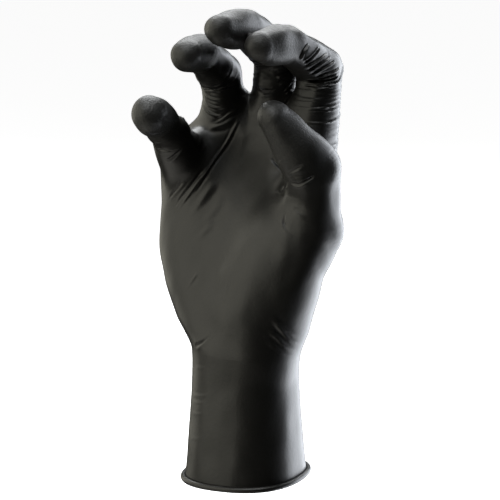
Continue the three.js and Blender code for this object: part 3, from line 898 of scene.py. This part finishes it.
glove = creased(drawnFilm())
print("folds in place")
glove = cutAtOpening(glove, 0)
print("film", len(glove.data.polygons), "faces")
glove = joined(glove, beadRing(), "UNION")
glove = joined(glove, cavity(), "DIFFERENCE")
putPoints(glove.data, leaned(pointsOf(glove.data)) * mm)
glove.name = glove.data.name = "glove"
print("glove", sum(len(p.vertices) - 2 for p in glove.data.polygons), "triangles")
glove.data.polygons.foreach_set("use_smooth", np.ones(len(glove.data.polygons), bool))
glove.data.set_sharp_from_angle(angle=np.radians(film["sharpAngle"]))
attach(glove, "root")
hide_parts("glove_shell")


# shader maths as expressions on sockets
class Socket:
    def __init__(self, tree, value):
        self.tree, self.value = tree, value

    def plug(self, target, value):
        if isinstance(value, Socket):
            self.tree.links.new(value.value, target)
        elif value is not None:
            target.default_value = value

    def node(self, kind, settings=None, **values):
        # any node: its type, its settings, then values or links of its sockets by name, or by number
        # after an i
        made = self.tree.nodes.new(kind)
        for name, setting in (settings or {}).items():
            setattr(made, name, setting)
        for name, value in values.items():
            key = int(name[1:]) if name[0] == "i" and name[1:].isdigit() else name.replace("_", " ")
            self.plug(made.inputs[key], value)
        return made

    def out(self, kind, settings=None, output=0, **values):
        return Socket(self.tree, self.node(kind, settings, **values).outputs[output])

    def maths(self, operation, *values):
        inputs = {f"i{i}": value for i, value in enumerate(values)}
        return self.out("ShaderNodeMath", {"operation": operation}, **inputs)

    def __add__(self, other): return self.maths("ADD", self, other)
    def __sub__(self, other): return self.maths("SUBTRACT", self, other)
    def __mul__(self, other): return self.maths("MULTIPLY", self, other)
    def __rsub__(self, other): return self.maths("SUBTRACT", other, self)
    __radd__, __rmul__ = __add__, __mul__


def colour(r, g, b):
    # with full alpha
    return (r, g, b, 1.0)


# black nitrile: a satin film, pebbled and rougher at the finger ends, finely uneven elsewhere
nitrile = {"base": colour(0.008, 0.0078, 0.007), "ends": colour(0.014, 0.014, 0.013),
           "roughness": 0.38, "rougherEnds": 0.1, "unevenGloss": 0.08,
           "pebbleScale": 1300.0, "fineScale": 600.0, "fineShare": 0.25, "pebbleHeight": 0.00022}


def nitrileFilm():
    # colour, roughness and bump go from base to ends by the attribute "texture"
    material = bpy.data.materials.new("nitrileFilm")
    material.use_nodes = True
    tree = material.node_tree
    shader = tree.nodes["Principled BSDF"]
    s = Socket(tree, None)
    place = s.out("ShaderNodeTexCoord", output="Object")
    texture = s.out("ShaderNodeAttribute", {"attribute_name": "texture"}, output="Fac")
    pebble = s.out("ShaderNodeTexNoise", Vector=place, Scale=nitrile["pebbleScale"],
                   Detail=2.0, Roughness=0.5)
    fine = s.out("ShaderNodeTexNoise", Vector=place, Scale=nitrile["fineScale"],
                 Detail=3.0, Roughness=0.6)
    height = pebble * texture + fine * nitrile["fineShare"]
    bump = s.out("ShaderNodeBump", Strength=1.0, Distance=nitrile["pebbleHeight"], Height=height)
    tone = s.out("ShaderNodeMix", {"data_type": "RGBA"}, output=2,
                 i0=texture, i6=nitrile["base"], i7=nitrile["ends"])
    rough = nitrile["roughness"] + nitrile["rougherEnds"] * texture
    s.plug(shader.inputs["Base Color"], tone)
    s.plug(shader.inputs["Roughness"], rough + nitrile["unevenGloss"] * (fine - 0.5))
    s.plug(shader.inputs["Normal"], bump)
    return material


glove.data.materials.clear()
glove.data.materials.append(nitrileFilm())


# the studio: a pale floor, soft boxes, and the camera where the photograph was taken from
studio = {
    "floorBelow": 0.16, "floorHalf": 8, "floorTone": 0.8, "floorRough": 0.9, "floorGlow": 0.95,
    "reflectedGrey": 0.006,
    "boxes": [  # name, azimuth, height angle, distance, width, height (m), power (W), colour
        ("leftFill", -40, 14, 1.0, 0.9, 1.3, 5.4, (1.0, 0.97, 0.83)),
        ("farLeft", -96, 12, 1.0, 0.9, 1.2, 4.8, (1.0, 0.97, 0.83)),
        ("floorBounce", -40, -62, 1.0, 1.6, 0.9, 3.4, (1.0, 0.97, 0.88)),
        ("lowRight", 128, -50, 1.0, 0.7, 0.6, 6.0, (0.92, 0.95, 1.0)),
        ("rightBox", 154, -4, 1.0, 1.1, 1.2, 25.0, (0.9, 0.94, 1.0)),
        ("backTop", -150, 50, 1.0, 0.9, 0.8, 15.0, (0.97, 0.99, 1.0)),
        ("topBox", 0, 68, 1.0, 0.7, 0.6, 5.5, (0.98, 1.0, 1.0)),
    ],
    "lookAt": (0, 0, 0.11), "azimuth": 30, "elevation": 12, "distance": 0.9,
    "focalPixels": 2059.5, "pixelsWide": 500, "sensor": 36, "shift": (0.0086, -0.0366),
}


def around(azimuth, elevation, distance):
    # a point seen from the middle of the glove at an azimuth from -Y towards +X and a height angle
    a, e = np.radians(azimuth), np.radians(elevation)
    away = np.array([np.sin(a) * np.cos(e), -np.cos(a) * np.cos(e), np.sin(e)])
    return Vector(np.array(studio["lookAt"]) + distance * away)


def aimed(thing, place):
    # at the place, its -Z towards the middle of the glove
    turn = (Vector(studio["lookAt"]) - place).to_track_quat("-Z", "Y")
    thing.matrix_world = Matrix.Translation(place) @ turn.to_matrix().to_4x4()
    bpy.context.scene.collection.objects.link(thing)
    return thing


for name, azimuth, elevation, distance, width, height, power, tint in studio["boxes"]:
    light = bpy.data.lights.new(name, "AREA")
    light.shape, light.size, light.size_y = "RECTANGLE", width, height
    light.energy, light.color = power, tint
    box = aimed(bpy.data.objects.new(name, light), around(azimuth, elevation, distance))
    box.visible_camera = False

# white where the camera sees it, dark grey where the film reflects it
world = bpy.data.worlds.new("studioWorld")
world.use_nodes = True
bpy.context.scene.world = world
w = Socket(world.node_tree, None)
direct = w.out("ShaderNodeLightPath", output="Is Camera Ray")
tone = w.out("ShaderNodeMix", {"data_type": "RGBA"}, output=2,
             i0=direct, i6=colour(*[studio["reflectedGrey"]] * 3), i7=colour(1, 1, 1))
w.plug(world.node_tree.nodes["Background"].inputs["Color"], tone)


def paleFloor():
    # plain and pale, and clear from below
    material = bpy.data.materials.new("paleFloor")
    material.use_nodes = True
    nodes = material.node_tree.nodes
    shader = nodes["Principled BSDF"]
    shader.inputs["Base Color"].default_value = colour(*[studio["floorTone"]] * 3)
    shader.inputs["Roughness"].default_value = studio["floorRough"]
    shader.inputs["Emission Color"].default_value = colour(1, 1, 1)
    shader.inputs["Emission Strength"].default_value = studio["floorGlow"]
    s = Socket(material.node_tree, None)
    under = s.out("ShaderNodeNewGeometry", output="Backfacing")
    clear = s.out("ShaderNodeBsdfTransparent")
    pale = Socket(material.node_tree, shader.outputs[0])
    mixed = s.out("ShaderNodeMixShader", i0=under, i1=pale, i2=clear)
    s.plug(nodes["Material Output"].inputs["Surface"], mixed)
    return material


corners = studio["floorHalf"] * np.array([(-1, -1, 0), (1, -1, 0), (1, 1, 0), (-1, 1, 0)], float)
floor = newMesh("floor", corners - [0, 0, studio["floorBelow"]], [(0, 1, 2, 3)])
floor.data.materials.append(paleFloor())
floor.visible_diffuse = floor.visible_glossy = floor.visible_shadow = False

lens = bpy.data.cameras.new("camera")
lens.sensor_width = studio["sensor"]
lens.lens = studio["focalPixels"] / studio["pixelsWide"] * studio["sensor"]
lens.shift_x, lens.shift_y = studio["shift"]
bpy.context.scene.camera = aimed(bpy.data.objects.new("camera", lens),
                                 around(studio["azimuth"], studio["elevation"], studio["distance"]))
bpy.context.scene.view_settings.view_transform = "Standard"
print("studio ready")
